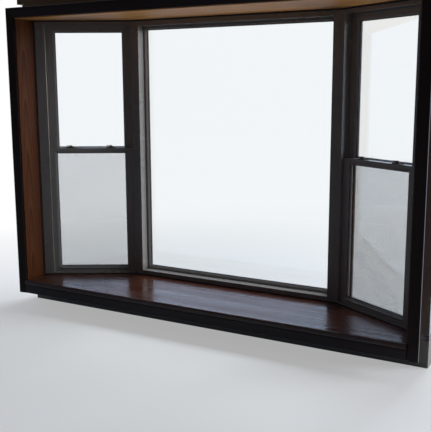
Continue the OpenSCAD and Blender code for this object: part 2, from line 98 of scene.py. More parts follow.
# The far vertices of faces extruded where they are
def extruded(bm, faces):
    run = bmesh.ops.extrude_face_region(bm, geom=faces, use_keep_orig=True)["geom"]
    return [item for item in run if isinstance(item, bmesh.types.BMVert)]


# Bevel, with the new faces marked as places where the finish wears and where wood and vinyl carry a painted
# highlight
def roundEdges(bm, edges, width, segments=2):
    edgeWearAndHighlight = bm.faces.layers.float.get("edgeWearAndHighlight") or bm.faces.layers.float.new("edgeWearAndHighlight")
    edges = [edge for edge in edges if edge.is_valid]
    made = bmesh.ops.bevel(
        bm, geom=edges, offset=width, offset_type="OFFSET", affect="EDGES",
        segments=segments, profile=0.5, material=-1, clamp_overlap=True,
    )
    for face in made["faces"]:
        face[edgeWearAndHighlight] = 1


def roundBox(bm, place, low, high, width, segments=2):
    roundEdges(bm, edgesOf(addBox(bm, place, low, high)), width, segments)


# A bar along X from a section given as depth and reach, sheared at its ends for a mitre
def addBar(bm, place, section, length, startCut=0.0, endCut=0.0, width=0.0, segments=2):
    start = [bm.verts.new((reach * startCut, depth, reach)) for depth, reach in section]
    end = extruded(bm, [bm.faces.new(start)])
    for vert in end:
        vert.co.x = length - vert.co.z * endCut
    bmesh.ops.transform(bm, matrix=place, verts=start + end)
    if width:
        roundEdges(bm, creases(edgesOf(start + end)), width, segments)


# Four mitred bars round a rectangle in the XZ plane; sections and widths go bottom, right, top, left
def addRing(bm, place, low, high, depth, section, widths, width=0.0, segments=2):
    wide, tall = high[0] - low[0], high[1] - low[1]
    corners = [
        (low[0], low[1], wide), (high[0], low[1], tall), (high[0], high[1], wide), (low[0], high[1], tall),
    ]
    for i, (x, z, length) in enumerate(corners):
        here = place @ Matrix.Translation((x, depth, z)) @ Matrix.Rotation(radians(-90 * i), 4, "Y")
        startCut, endCut = widths[i - 1] / widths[i], widths[(i + 1) % 4] / widths[i]
        addBar(bm, here, section(widths[i]), length, startCut, endCut, width, segments)


# A round body about the local Z axis from a profile of radius and height
def addTurned(bm, place, profile, steps=28):
    before = set(bm.verts)
    verts = [bm.verts.new((radius, 0, height)) for radius, height in profile]
    edges = [bm.edges.new(pair) for pair in zip(verts, verts[1:])]
    bmesh.ops.spin(
        bm, geom=verts + edges, cent=(0, 0, 0), axis=(0, 0, 1), angle=tau, steps=steps, use_merge=True,
    )
    made = [vert for vert in bm.verts if vert not in before]
    bmesh.ops.transform(bm, matrix=place, verts=made)
    bmesh.ops.remove_doubles(bm, verts=made, dist=1e-6)


# A closed strip round the three sides from a profile of offset and height
def sweepRound(bm, endX, profile, stations=(0, 1, 2, 3)):
    rings = []
    for station in stations:
        plan = [aroundBay(endX, out)[station] for out, z in profile]
        rings.append([bm.verts.new((*point, z)) for point, (out, z) in zip(plan, profile)])
    for ring in (rings[0], rings[-1]):
        bm.faces.new(ring)
    loops = []
    for ring in rings:
        pairs = zip(ring, ring[1:] + ring[:1])
        loops.append([bm.edges.get(pair) or bm.edges.new(pair) for pair in pairs])
    for first, second in zip(loops, loops[1:]):
        bmesh.ops.bridge_loops(bm, edges=first + second)
    return [vert for ring in rings for vert in ring]


def addObject(name, data):
    made = bpy.data.objects.new(name, data)
    bpy.context.scene.collection.objects.link(made)
    return made


def finishPiece(bm, name, material, replaces=None, sharp=35, weighted=True):
    bmesh.ops.recalc_face_normals(bm, faces=bm.faces)
    mesh = bpy.data.meshes.new(name)
    bm.to_mesh(mesh)
    bm.free()
    mesh.shade_smooth()
    mesh.set_sharp_from_angle(angle=radians(sharp))
    mesh.materials.append(material)
    piece = addObject(name, mesh)
    if weighted:
        smooth = piece.modifiers.new("flatFaces", "WEIGHTED_NORMAL")
        smooth.keep_sharp = True
        smooth.weight = 100
    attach(piece, "root")
    if replaces:
        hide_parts(replaces)
    return piece


# The construction's own shape with its outer edges softened
def softCopy(node, material, width, segments=2):
    bm = bmesh.new()
    bm.from_mesh(nodes[node].data)
    bmesh.ops.remove_doubles(bm, verts=bm.verts, dist=1e-5)
    bmesh.ops.dissolve_limit(
        bm, angle_limit=radians(1), verts=bm.verts, edges=bm.edges, delimit={"NORMAL"},
    )
    roundEdges(bm, [edge for edge in creases(bm.edges, radians(25)) if edge.is_convex], width, segments)
    finishPiece(bm, node + "_finish", material, node)


# Finishes
def toLinear(*values):
    shares = [value / 255 for value in values]
    return (*(c / 12.92 if c < 0.04045 else ((c + 0.055) / 1.055) ** 2.4 for c in shares), 1)


def setInputs(tree, node, inputs):
    for key, value in inputs.items():
        if isinstance(value, bpy.types.NodeSocket):
            tree.links.new(value, node.inputs[key])
        else:
            node.inputs[key].default_value = value


def addNode(tree, kind, inputs=None, **settings):
    made = tree.nodes.new("ShaderNode" + kind)
    for key, value in settings.items():
        setattr(made, key, value)
    setInputs(tree, made, inputs or {})
    return made


def newMaterial(name):
    material = bpy.data.materials.new(name)
    material.use_nodes = True
    tree = material.node_tree
    return material, tree, tree.nodes["Principled BSDF"]


def objectPoints(tree):
    return addNode(tree, "TexCoord").outputs["Object"]


def scaled(tree, vector, *scale):
    return addNode(tree, "Mapping", {"Vector": vector, "Scale": scale}).outputs["Vector"]


def addRamp(tree, factor, stops):
    ramp = addNode(tree, "ValToRGB", {"Fac": factor})
    elements = ramp.color_ramp.elements
    while len(elements) < len(stops):
        elements.new(0.5)
    for element, (position, colour) in zip(elements, stops):
        element.position = position
        element.color = toLinear(*colour)
    return ramp.outputs["Color"]


def addMix(tree, factor, first, second, blend="MIX"):
    inputs = {0: factor, 6: first, 7: second}
    return addNode(tree, "Mix", inputs, data_type="RGBA", blend_type=blend).outputs[2]


def addMath(tree, operation, first, second=0.5, clamp=False):
    return addNode(tree, "Math", {0: first, 1: second}, operation=operation, use_clamp=clamp).outputs[0]


def product(tree, first, second):
    return addMath(tree, "MULTIPLY", first, second)


def toRange(tree, value, fromLow, fromHigh, toLow, toHigh):
    inputs = {"Value": value, "From Min": fromLow, "From Max": fromHigh, "To Min": toLow, "To Max": toHigh}
    return addNode(tree, "MapRange", inputs).outputs["Result"]


# Multiplies a colour by a grey level
def shaded(tree, base, level):
    grey = addNode(tree, "CombineColor", {0: level, 1: level, 2: level}).outputs[0]
    return addMix(tree, 1.0, base, grey, "MULTIPLY")


def bump(tree, height, distance, strength):
    inputs = {"Height": height, "Distance": distance, "Strength": strength}
    return addNode(tree, "Bump", inputs).outputs["Normal"]


def noise(tree, vector, scale, detail=3.0, roughness=0.5, distortion=0.0):
    inputs = {
        "Vector": vector, "Scale": scale, "Detail": detail, "Roughness": roughness, "Distortion": distortion,
    }
    return addNode(tree, "TexNoise", inputs).outputs["Fac"]


# Bevelled edges, broken up by noise: where finishes are rubbed, and where wood and vinyl carry a painted
# highlight
def edgeWearAndHighlightMask(tree, vector, share):
    bevelledFaces = addNode(tree, "Attribute", attribute_name="edgeWearAndHighlight").outputs["Fac"]
    patches = toRange(tree, noise(tree, vector, 45, 4), 0.38, 0.62, 0.1, 1.0)
    return product(tree, product(tree, bevelledFaces, patches), share)


# Growth rings run round the pith, tones go from early to late wood; wave is the width that Wave gives a ring;
# the edge colour is worn finish and, on the jambs, a painted highlight along the arris
woods = {
    "fibre": 900, "edgeWearAndHighlight": 0.35, "wave": 0.314,
    "seat": {
        "rough": 0.3, "coat": 0.5, "coatRough": 0.15, "gloss": 0.6, "streak": 0.13,
        "pith": (0, 0.05, -0.055), "turn": (0, 0.8, 0.4), "stretch": 0.07, "ring": 0.006, "waver": 5.0,
        "leaf": 0.18, "leafShift": (2.0, 0.0, 0.05),
        "tones": [(0.0, (88, 47, 32)), (0.6, (74, 38, 26)), (0.93, (52, 25, 17)), (1.0, (88, 45, 30))],
        "poreColour": (32, 15, 10), "wornAndHighlitColour": (130, 80, 54),
        "grainDepth": 0.22, "cloud": 0.16, "pores": 0.55, "relief": 0.00022,
    },
    "head": {
        "rough": 0.5, "coat": 0.0, "coatRough": 0.3, "gloss": 0.16, "streak": 0.03,
        "pith": (0, 0.1, -1.74), "turn": (0, 0.5, 0.5), "stretch": 0.07, "ring": 0.007, "waver": 5.0,
        "leaf": 0.2, "leafShift": (2.0, 0.0, 0.05),
        "tones": [(0.0, (222, 164, 98)), (0.6, (213, 153, 89)), (0.93, (190, 127, 71)),
                  (1.0, (220, 160, 95))],
        "poreColour": (128, 88, 58), "wornAndHighlitColour": (212, 178, 138),
        "grainDepth": 0.1, "cloud": 0.08, "pores": 0.2, "relief": 0.0002,
    },
    "jamb": {
        "rough": 0.42, "coat": 0.25, "coatRough": 0.2, "gloss": 0.3, "streak": 0.06, "heart": 0.05,
        "pith": (-0.9, -0.06, 0), "turn": (0, 91.6, 0), "stretch": 0.1, "ring": 0.0095, "waver": 2.6,
        "tones": [(0.0, (106, 61, 34)), (0.55, (91, 50, 27)), (0.93, (69, 36, 19)), (1.0, (101, 57, 31))],
        "poreColour": (46, 24, 14), "wornAndHighlitColour": (156, 112, 84),
        "grainDepth": 0.2, "cloud": 0.14, "pores": 0.35, "relief": 0.00025,
    },
    "casing": {
        "rough": 0.46, "coat": 0.35, "coatRough": 0.2, "gloss": 0.2, "streak": 0.05,
        "pith": (0.03, 0.02, 0.05), "turn": (0, 90.7, 0.4), "stretch": 0.06, "ring": 0.004, "waver": 4.0,
        "across": (0, 0.7, 0.4),
        "tones": [(0.0, (58, 37, 29)), (0.6, (49, 30, 24)), (0.93, (33, 20, 15)), (1.0, (55, 34, 26))],
        "poreColour": (17, 10, 8), "wornAndHighlitColour": (74, 49, 37),
        "grainDepth": 0.22, "cloud": 0.14, "pores": 0.5, "relief": 0.00022,
    },
    "deck": {
        "rough": 0.75, "coat": 0.0, "coatRough": 0.3, "gloss": 0.3, "streak": 0.03,
        "pith": (0, 0.1, -1.9), "turn": (0, 0.5, 0.6), "stretch": 0.08, "ring": 0.009, "waver": 7.0,
        "tones": [(0.0, (152, 127, 99)), (0.6, (139, 113, 86)), (0.93, (104, 82, 60)), (1.0, (149, 123, 95))],
        "poreColour": (74, 56, 41), "wornAndHighlitColour": (172, 148, 120),
        "grainDepth": 0.3, "cloud": 0.2, "pores": 0.3, "relief": 0.0005,
    },
}


# Wood with its grain brought to X by Mapping; a leaf is one glued strip of a board
def woodMaterial(name, look):
    material, tree, shader = newMaterial(name)
    points = objectPoints(tree)
    turn = [radians(a) for a in look["turn"]]
    placed = {"Vector": points, "Location": look["pith"], "Rotation": turn}
    turned = addNode(tree, "Mapping", placed).outputs["Vector"]
    leafTone = None
    if "leaf" in look:
        across = addNode(tree, "SeparateXYZ", {"Vector": turned}).outputs["Y"]
        leaf = addMath(tree, "FLOOR", addMath(tree, "DIVIDE", across, look["leaf"]))
        shift = addNode(tree, "TexWhiteNoise", {"W": leaf}, noise_dimensions="1D")
        moves = {0: shift.outputs["Color"], 1: look["leafShift"]}
        shifted = addNode(tree, "VectorMath", moves, operation="MULTIPLY").outputs[0]
        turned = addNode(tree, "VectorMath", {0: turned, 1: shifted}, operation="ADD").outputs[0]
        leafTone = toRange(tree, shift.outputs["Value"], 0, 1, 0.9, 1.1)
    along = scaled(tree, turned, look["stretch"], 1, 1)
    rings = addNode(tree, "TexWave", {
        "Vector": along, "Scale": woods["wave"] / look["ring"], "Distortion": look["waver"], "Detail": 2.5,
        "Detail Scale": 0.35, "Detail Roughness": 0.6,
    }, wave_type="RINGS", rings_direction="X", wave_profile="SAW").outputs["Fac"]
    fibreWay = scaled(tree, turned, 0.018, 1, 1)
    fibre = noise(tree, fibreWay, woods["fibre"], 3, 0.6)
    pores = noise(tree, fibreWay, woods["fibre"] * 0.45, 2, 0.7)
    cloud = noise(tree, along, 5, 4, 0.6)
    fine = toRange(tree, fibre, 0.3, 0.7, 1 - look["grainDepth"], 1 + look["grainDepth"] * 0.5)
    tone = toRange(tree, cloud, 0.3, 0.7, 1 - look["cloud"], 1 + look["cloud"])
    if leafTone:
        tone = product(tree, tone, leafTone)
    base = shaded(tree, shaded(tree, addRamp(tree, rings, look["tones"]), fine), tone)
    poreMask = toRange(tree, pores, 0.6, 0.72, 0, look["pores"])
    base = addMix(tree, poreMask, base, toLinear(*look["poreColour"]))
    # Bevelled edges take the paler edge colour: worn finish on every wood, and on the jambs a painted
    # highlight
    base = addMix(tree, edgeWearAndHighlightMask(tree, points, woods["edgeWearAndHighlight"]), base, toLinear(*look["wornAndHighlitColour"]))
    patches = noise(tree, scaled(tree, turned, 0.9, 22, 22), 1.0, 3, 0.6)
    streak = toRange(tree, patches, 0.32, 0.68, -look["streak"], look["streak"])
    roughness = toRange(tree, fibre, 0.2, 0.8, look["rough"] - 0.05, look["rough"] + 0.07)
    ringRelief, fibreRelief = product(tree, rings, 0.08), product(tree, fibre, 0.65)
    relief = addMath(tree, "SUBTRACT", addMath(tree, "ADD", ringRelief, fibreRelief), poreMask)
    setInputs(tree, shader, {
        "Base Color": base, "Roughness": addMath(tree, "ADD", roughness, streak),
        "Coat Weight": look["coat"], "Coat Roughness": look["coatRough"],
        "Specular IOR Level": look["gloss"], "Normal": bump(tree, relief, look["relief"], 0.6),
    })
    return material


# Extruded vinyl with a faint orange peel and slightly soiled patches; its bevelled edges are painted paler,
# partly as rubbed finish and partly as a painted highlight
def vinylMaterial(name, colour, soiled, roughness=0.24, coat=0.3):
    material, tree, shader = newMaterial(name)
    points = objectPoints(tree)
    colour, soiled = toLinear(*colour), toLinear(*soiled)
    cloud = noise(tree, points, 3.5, 4, 0.6)
    streak = noise(tree, scaled(tree, points, 30, 30, 1.2), 1.0, 3)
    base = addMix(tree, toRange(tree, cloud, 0.35, 0.75, 0, 0.3), colour, soiled)
    base = addMix(tree, toRange(tree, streak, 0.5, 0.8, 0, 0.08), base, soiled)
    # Paler bevelled edges: rubbed finish and a painted highlight
    rubbedAndHighlit = tuple(min(1, c * 1.35) for c in colour)
    base = addMix(tree, edgeWearAndHighlightMask(tree, points, 0.3), base, rubbedAndHighlit)
    gloss = toRange(tree, cloud, 0.2, 0.8, roughness - 0.02, roughness + 0.06)
    peel = addMath(tree, "ADD", noise(tree, points, 420, 2), product(tree, streak, 0.15))
    setInputs(tree, shader, {
        "Base Color": base, "Roughness": gloss, "Coat Weight": coat, "Coat Roughness": 0.12,
        "Normal": bump(tree, peel, 0.00006, 0.5),
    })
    return material


# Window glass that lets light through without a dark shadow
def glassMaterial(name, tint):
    material, tree, shader = newMaterial(name)
    setInputs(tree, shader, {"Base Color": tint, "Roughness": 0, "Transmission Weight": 1, "IOR": 1.5})
    clear = addNode(tree, "BsdfTransparent", {"Color": tint})
    shadow = addNode(tree, "LightPath").outputs["Is Shadow Ray"]
    mix = addNode(tree, "MixShader", {0: shadow, 1: shader.outputs[0], 2: clear.outputs[0]})
    tree.links.new(mix.outputs[0], tree.nodes["Material Output"].inputs["Surface"])
    return material


# Cast or painted metal, patchy, with fine marks and edges rubbed pale
def metalMaterial(name, colour, roughness, brushed=0.15, metallic=1.0):
    material, tree, shader = newMaterial(name)
    points = objectPoints(tree)
    colour = toLinear(*colour)
    patches = noise(tree, points, 60, 4, 0.6)
    fine = noise(tree, scaled(tree, points, 1, 1, 12), 260, 3)
    dark = (*(c * 0.6 for c in colour[:3]), 1)
    base = addMix(tree, toRange(tree, patches, 0.4, 0.75, 0, 0.6), colour, dark)
    pale = (*(min(1, c * 1.5 + 0.05) for c in colour[:3]), 1)
    base = addMix(tree, edgeWearAndHighlightMask(tree, points, 0.6), base, pale)
    gloss = toRange(tree, patches, 0.3, 0.7, roughness - brushed / 2, roughness + brushed)
    marks = bump(tree, fine, 0.00008, 0.4)
    setInputs(tree, shader, {"Base Color": base, "Roughness": gloss, "Metallic": metallic, "Normal": marks})
    return material


# Painted boards outdoors: brush marks along the board, with dust in clouds and along the grain
def paintMaterial(name, colour, dust, turn=0.0, roughness=0.45):
    material, tree, shader = newMaterial(name)
    points = objectPoints(tree)
    colour, dust = toLinear(*colour), toLinear(*dust)
    turned = {"Vector": points, "Rotation": (0, 0, radians(-turn))}
    along = addNode(tree, "Mapping", turned).outputs["Vector"]
    brushWay = scaled(tree, along, 0.03, 1, 1)
    brush = noise(tree, brushWay, 650, 3, 0.6)
    grain = noise(tree, brushWay, 130, 4, 0.65, 0.4)
    cloud = noise(tree, along, 4, 5, 0.65)
    base = addMix(tree, toRange(tree, cloud, 0.4, 0.75, 0, 0.55), colour, dust)
    base = addMix(tree, toRange(tree, grain, 0.55, 0.75, 0, 0.25), base, dust)
    base = addMix(tree, edgeWearAndHighlightMask(tree, points, 0.5), base, dust)
    gloss = toRange(tree, brush, 0.3, 0.7, roughness - 0.06, roughness + 0.1)
    relief = addMath(tree, "ADD", brush, product(tree, grain, 1.4))
    marks = bump(tree, relief, 0.0002, 0.6)
    setInputs(tree, shader, {"Base Color": base, "Roughness": gloss, "Normal": marks})
    return material


# Mineral shingles: granules over the tone of each tab
def shingleMaterial(name):
    material, tree, shader = newMaterial(name)
    points = objectPoints(tree)
    shade = addNode(tree, "Attribute", attribute_name="shade").outputs["Fac"]
    grains = addNode(tree, "TexVoronoi", {"Vector": points, "Scale": 520.0}, feature="F1")
    grainTone = addNode(tree, "SeparateColor", {0: grains.outputs["Color"]}).outputs[0]
    patch = noise(tree, points, 14, 4, 0.6)
    tone = product(tree, shade, 0.55)
    tone = addMath(tree, "ADD", tone, product(tree, grainTone, 0.3))
    tone = addMath(tree, "ADD", tone, product(tree, patch, 0.25))
    base = addRamp(tree, tone, [
        (0.15, (48, 44, 42)), (0.4, (74, 68, 62)), (0.62, (98, 88, 78)), (0.85, (122, 112, 100)),
    ])
    pits = bump(tree, grains.outputs["Distance"], 0.0009, 0.8)
    setInputs(tree, shader, {"Base Color": base, "Roughness": 0.92, "Normal": pits})
    return material


seatWood = woodMaterial("seatWood", woods["seat"])
headWood = woodMaterial("headWood", woods["head"])
jambWoods = {}
for side, way in (("left", -1), ("right", 1)):
    pith = (*woods["jamb"]["pith"][:2], way * (wallX + woods["jamb"]["heart"]))
    jambWoods[side] = woodMaterial(side + "JambWood", dict(woods["jamb"], pith=pith))
casingWood = woodMaterial("casingWood", woods["casing"])
casingWoodAcross = woodMaterial("casingWoodAcross", dict(woods["casing"], turn=woods["casing"]["across"]))
deckWood = woodMaterial("deckWood", woods["deck"])
frameVinyl = vinylMaterial("frameVinyl", (146, 139, 134), (124, 116, 110))
sashVinyl = vinylMaterial("sashVinyl", (156, 149, 144), (132, 124, 118), 0.2)
clearGlass = glassMaterial("clearGlass", (0.982, 0.992, 0.988, 1))
gasketRubber = vinylMaterial("gasketRubber", (34, 33, 34), (52, 50, 48), 0.6, 0.0)
spacerMetal = metalMaterial("spacerMetal", (70, 70, 72), 0.5, 0.15, 0.4)
lockMetal = metalMaterial("lockMetal", (96, 84, 74), 0.36, 0.12, 0.55)
screwSteel = metalMaterial("screwSteel", (170, 168, 162), 0.3)
screenPaint = metalMaterial("screenPaint", (108, 102, 98), 0.42, 0.1, 0.2)
threadGrey = metalMaterial("threadGrey", (58, 60, 62), 0.5, 0.1, 0.1)
baseCoat = paintMaterial("baseCoat", (150, 145, 136), (124, 117, 106), 0, 0.55)
trimPaints = {side: paintMaterial("trimPaint" + side.title(), (179, 176, 170), (153, 147, 137), turn)
              for side, turn in (("left", bay["angle"]), ("centre", 0), ("right", -bay["angle"]))}
soffitPaint = paintMaterial("soffitPaint", (200, 198, 193), (184, 179, 170), 0, 0.5)
flashMetal = metalMaterial("flashMetal", (120, 116, 110), 0.4, 0.15, 0.6)
shingles = shingleMaterial("shingleGranules")
print("finishes made")

# Boards, posts and frames keep the construction's shape; these are the radii of their edges
boards = {
    "edge": 0.0012, "jambEdge": 0.0022, "casingEdge": 0.0009, "postEdge": 0.0015, "frameEdge": 0.001,
}
softCopy("seat_board", seatWood, boards["edge"])
softCopy("head_board", headWood, boards["edge"])
for side in sides:
    softCopy(side + "_side_jamb", jambWoods[side], boards["jambEdge"], 3)
    softCopy(side + "_casing", casingWood, boards["casingEdge"])
    softCopy(side + "_wall_post", frameVinyl, boards["postEdge"], 3)
    softCopy(side + "_mullion", frameVinyl, boards["postEdge"], 3)
    softCopy(side + "_frame", frameVinyl, boards["frameEdge"])
softCopy("head_casing", casingWoodAcross, boards["casingEdge"])
softCopy("seat_apron", casingWoodAcross, boards["casingEdge"])
softCopy("centre_frame", frameVinyl, boards["edge"], 3)
softCopy("base_platform", baseCoat, boards["postEdge"])
softCopy("roof_deck", deckWood, boards["edge"])
softCopy("soffit", soffitPaint, boards["frameEdge"])
print("boards, posts and frames dressed")

# Dark stained quarter beads in the joints of the boards with the windows; their dark wood also stands in for
# the shadow line in these joints, as painted shadow
joint = {"size": 0.009, "seatSize": 0.006, "steps": 5}


def quarterBead(size):
    turns = [radians(90) * step / joint["steps"] for step in range(joint["steps"] + 1)]
    return [(0, 0)] + [(size * cos(turn), size * sin(turn)) for turn in turns]


# The upright bead between a side jamb and its wall post, its dark wood also standing in for that joint's
# shadow line
def addCornerBead(bm, place):
    low, high = joint["seatSize"], headZ - joint["size"]
    away = Vector((sin(bayTurn), cos(bayTurn)))
    ring = [bm.verts.new((along - away.x * back, -away.y * back, low))
            for along, back in quarterBead(joint["size"])]
    top = extruded(bm, [bm.faces.new(ring)])
    bmesh.ops.translate(bm, verts=top, vec=(0, 0, high - low))
    bmesh.ops.transform(bm, matrix=place, verts=ring + top)


bm = bmesh.new()
sweepRound(bm, wallX - bay["fit"], [(-out, headZ - drop) for out, drop in quarterBead(joint["size"])])
sweepRound(bm, wallX - bay["fit"], [(-out, height) for out, height in quarterBead(joint["seatSize"])])
for place in sides.values():
    addCornerBead(bm, place)
finishPiece(bm, "joint_beads_shadow_lines", casingWoodAcross, sharp=50)

# Sashes: a welded frame ring, a bead ring snapped in front of the glass, and gaskets
sash = {
    "beadWidth": 0.014, "beadFlat": 0.004, "beadLip": 0.003, "beadGap": 0.0006, "beadHeel": 0.0014,
    "beadFoot": 0.005, "pocketStart": 0.001, "glassThickness": 0.018, "glassBite": 0.010,
    "outerSlope": 0.001, "frameEdge": 0.0012, "beadEdge": 0.0006, "joint": 0.0004,
    "gasketReach": 0.0018, "gasketTuck": 0.003, "gasketDepth": 0.0011, "gasketSlope": 0.0003,
    "gasketSunk": 0.0002,
}


def frameSection(thickness, glassDepth):
    start = glassDepth - sash["pocketStart"]
    end = glassDepth + sash["glassThickness"] + bay["fit"]

    def section(width):
        body = width - sash["beadWidth"] - sash["joint"]
        pocket = width - sash["glassBite"] - sash["joint"]
        return [
            (0, 0), (0, body), (start, body), (start, pocket), (end, pocket), (end, width),
            (thickness, width - sash["outerSlope"]), (thickness, 0),
        ]
    return section


def beadSection(glassDepth):
    back = glassDepth - sash["beadGap"]

    def section(width):
        start = sash["joint"]
        return [
            (0, start), (0, sash["beadFlat"]), (glassDepth - sash["beadLip"], width), (back, width),
            (back, width - sash["beadFoot"]), (glassDepth - sash["beadHeel"], start),
        ]
    return section


def gasketSection(width):
    depth = sash["gasketDepth"]
    return [(0, 0), (0, width), (depth, width - sash["gasketSlope"]), (depth, 0)]


# Sizes of a sash, read from its own box and its glass; what stands proud of its face is taken off
def readSash(place, tag, proud):
    low, high = boxIn(place, tag + "_sash")
    glassLow, glassHigh = boxIn(place, tag + "_glass")
    hidden = sash["glassBite"] - bay["fit"]
    low.y += proud
    return {
        "low": low, "high": high, "stile": glassLow.x - low.x + hidden,
        "bottom": glassLow.z - low.z + hidden, "top": high.z - glassHigh.z + hidden,
        "glass": glassLow.y - low.y,
    }


# A ring inside the sash, set back from its sight edges by a tuck
def addInnerRing(bm, place, size, tuck, depth, section, width, edge, segments):
    low, high = size["low"], size["high"]
    near = (low.x + size["stile"] - tuck, low.z + size["bottom"] - tuck)
    far = (high.x - size["stile"] + tuck, high.z - size["top"] + tuck)
    addRing(bm, place, near, far, depth, section, (width,) * 4, edge, segments)


def addSash(tag, place, size, extra):
    low, high, glassDepth = size["low"], size["high"], size["glass"]
    widths = (size["bottom"], size["stile"], size["top"], size["stile"])
    section = frameSection(high.y - low.y, glassDepth)
    bm = bmesh.new()
    addRing(bm, place, (low.x, low.z), (high.x, high.z), low.y, section, widths, sash["frameEdge"])
    if extra:
        extra(bm, place, size)
    finishPiece(bm, tag + "_sash_frame", sashVinyl, tag + "_sash")
    bead = sash["beadWidth"]
    bm = bmesh.new()
    addInnerRing(bm, place, size, bead, low.y, beadSection(glassDepth), bead, sash["beadEdge"], 2)
    finishPiece(bm, tag + "_glazing_bead", sashVinyl)
    tuck = sash["gasketTuck"]
    bm = bmesh.new()
    for depth in (-sash["gasketDepth"], sash["glassThickness"] - sash["gasketSunk"]):
        addInnerRing(bm, place, size, tuck, low.y + glassDepth + depth, gasketSection,
                     tuck + sash["gasketReach"], sash["gasketSlope"], 1)
    finishPiece(bm, tag + "_glass_gasket", gasketRubber)


# Sealed units: two panes with a spacer between them
unit = {"pane": 0.0032, "paneEdge": 0.0005, "spacer": 0.0125, "inset": 0.0025, "slope": 0.001, "edge": 0.0003}


def addGlass(tag, place):
    low, high = boxIn(place, tag + "_glass")
    pane, inset, slope = unit["pane"], unit["inset"], unit["slope"]
    bm = bmesh.new()
    for start in (low.y, high.y - pane):
        roundBox(bm, place, (low.x, start, low.z), (high.x, start + pane, high.z), unit["paneEdge"], 1)
    finishPiece(bm, tag + "_glass_unit", clearGlass, tag + "_glass")
    gap = high.y - low.y - 2 * pane

    def section(width):
        return [
            (0, 0), (0, width - slope), (slope, width), (gap - slope, width), (gap, width - slope), (gap, 0),
        ]

    bm = bmesh.new()
    addRing(bm, place, (low.x + inset, low.z + inset), (high.x - inset, high.z - inset), low.y + pane,
            section, (unit["spacer"] - inset,) * 4, unit["edge"], 1)
    finishPiece(bm, tag + "_glass_spacer", spacerMetal)


checkRail = {"height": 0.016, "reach": 0.004, "side": 0.0053, "edge": 0.0008}
fingerLift = {"reach": 0.009, "thickness": 0.004, "height": 0.022, "sunk": 0.001, "edge": 0.0009}


def addCheckRail(bm, place, size):
    low, high = size["low"], size["high"]
    top = low.z + size["bottom"]
    start = (low.x + checkRail["side"], low.y - checkRail["reach"], top - checkRail["height"])
    end = (high.x - checkRail["side"], low.y + size["glass"] - bay["fit"], top)
    roundBox(bm, place, start, end, checkRail["edge"])


def addFingerLift(bm, place, size):
    low, high, stile = size["low"], size["high"], size["stile"]
    reach, sunk = fingerLift["reach"], fingerLift["sunk"]
    top = reach + fingerLift["thickness"]
    here = place @ Matrix.Translation((low.x + stile, low.y, low.z + fingerLift["height"]))
    profile = [(sunk, 0), (-reach, reach), (-reach, top), (sunk, top)]
    addBar(bm, here, profile, high.x - low.x - 2 * stile, width=fingerLift["edge"], segments=3)


def addWindow(tag, place, proud=0.0, extra=None):
    addSash(tag, place, readSash(place, tag, proud), extra)
    addGlass(tag, place)


addWindow("centre", centrePlace)
for side, place in sides.items():
    addWindow(side + "_upper", place, checkRail["reach"], addCheckRail)
    addWindow(side + "_lower", place, fingerLift["reach"], addFingerLift)
print("sashes and glass made")

# Cam locks and keepers on the meeting rails; shoulders are shares of a radius and drops below the top
lock = {
    "spacing": 0.282, "plate": (0.070, 0.020, 0.004), "corner": 0.003, "plateEdge": 0.0011,
    "cover": (0.022, 0.0088), "coverTop": (0.0105, 0.0068), "coverEdge": 0.0016, "coverSunk": 0.0005,
    "camRadius": 0.009, "camShoulder": ((0, 0), (0.72, 0), (0.95, 0.0012), (1, 0.003)),
    "camFoot": 0.0012, "camFlare": 0.001, "camSunk": 0.0004, "height": 0.018, "seam": 0.0006,
    "hubRadius": 0.008, "hubShoulder": ((0, 0), (0.55, 0.0002), (0.88, 0.0014), (1, 0.0035)),
    "lever": 0.034, "leverThickness": 0.005, "leverGap": 0.0003, "tipFrom": 0.01, "tipRadius": 0.004,
    "tipDrop": 0.0008, "rake": 0.003, "keeper": (0.046, 0.0111, 0.009), "keeperRim": 0.0022,
    "keeperEdge": 0.0007, "screwAt": 0.026, "screwRadius": 0.0033, "screwHeight": 0.0012,
}


def addScrew(bm, place):
    radius, height = lock["screwRadius"], lock["screwHeight"]
    crown = [(0, height), (radius * 0.6, height * 0.9), (radius, height * 0.25)]
    addTurned(bm, place, crown + [(radius, -height), (0, -height)], 12)


# The plate with round corners and a softened rim
def addPlate(bm, place):
    long, wide, thick = lock["plate"]
    verts = addBox(bm, place, (-long / 2, -wide / 2, 0), (long / 2, wide / 2, thick))
    uprights = [e for e in edgesOf(verts) if abs((e.verts[0].co - e.verts[1].co).normalized().z) > 0.9]
    roundEdges(bm, uprights, lock["corner"], 3)
    inverse = place.inverted()
    rim = []
    for edge in creases(bm.edges, 1):
        ends = [inverse @ vert.co for vert in edge.verts]
        if all(end.z > thick - 1e-5 and abs(end.x) < long for end in ends):
            rim.append(edge)
    roundEdges(bm, rim, lock["plateEdge"], 3)


# The cover that tapers up to the cam
def addCover(bm, place, bottom, top):
    half, topHalf = lock["cover"], lock["coverTop"]
    low, high = (-half[0], -half[1], bottom - lock["coverSunk"]), (*half, top - lock["seam"])
    verts = addBox(bm, Matrix(), low, high)
    for vert in verts:
        if vert.co.z > bottom:
            vert.co.x *= topHalf[0] / half[0]
            vert.co.y *= topHalf[1] / half[1]
    bmesh.ops.transform(bm, matrix=place, verts=verts)
    roundEdges(bm, edgesOf(verts), lock["coverEdge"], 3)


# The cam's housing, with the lever's hub on top
def addCam(bm, place, bottom, top):
    radius, hub, foot = lock["camRadius"], lock["hubRadius"], bottom - lock["camSunk"]
    housing = [(radius * share, top - drop) for share, drop in lock["camShoulder"]]
    housing += [(radius, bottom + lock["camFlare"]), (radius + lock["camFoot"], foot), (0, foot)]
    addTurned(bm, place, housing)
    knob = [(hub * share, lock["height"] - drop) for share, drop in lock["hubShoulder"]]
    addTurned(bm, place, knob + [(hub, top - lock["seam"]), (0, top - lock["seam"])])


